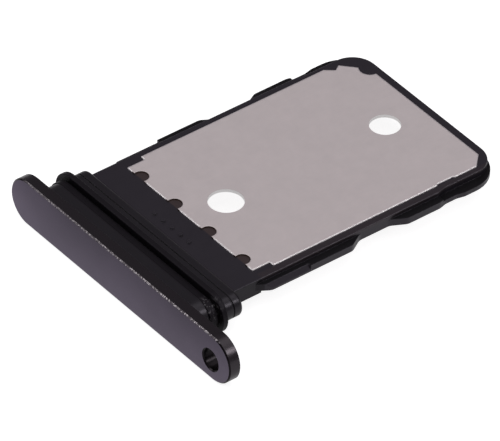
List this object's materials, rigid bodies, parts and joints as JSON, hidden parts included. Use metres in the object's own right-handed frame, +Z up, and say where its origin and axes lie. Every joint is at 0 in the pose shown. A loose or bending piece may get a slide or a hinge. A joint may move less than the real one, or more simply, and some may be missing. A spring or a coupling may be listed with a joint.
{
  "type": "sim card tray",
  "caption": "Pull-out card tray for a phone: a metal face cap with an eject hole, a moulded frame with a seal round its neck and a thin steel base plate",
  "frame": {"origin": "middle of the tray's outline, at the height of the cap's lower edge", "axes": "+X along the cap toward the eject hole, +Y the way the tray goes into the phone, +Z up, away from the card, which lies under the base plate"},
  "size_m": [0.0148, 0.0172, 0.0022],
  "materials": {
    "anodised_cap": "fine blasted and dyed, satin",
    "black_plastic": "moulded, fine grain",
    "steel_plate": "satin stamped sheet",
    "seal_rubber": "soft matt"
  },
  "bodies": {
    "root": {"face_cap": "anodised_cap", "carrier_frame": "black_plastic", "base_plate": "steel_plate", "seal_ring": "seal_rubber"}
  },
  "joints": []
}
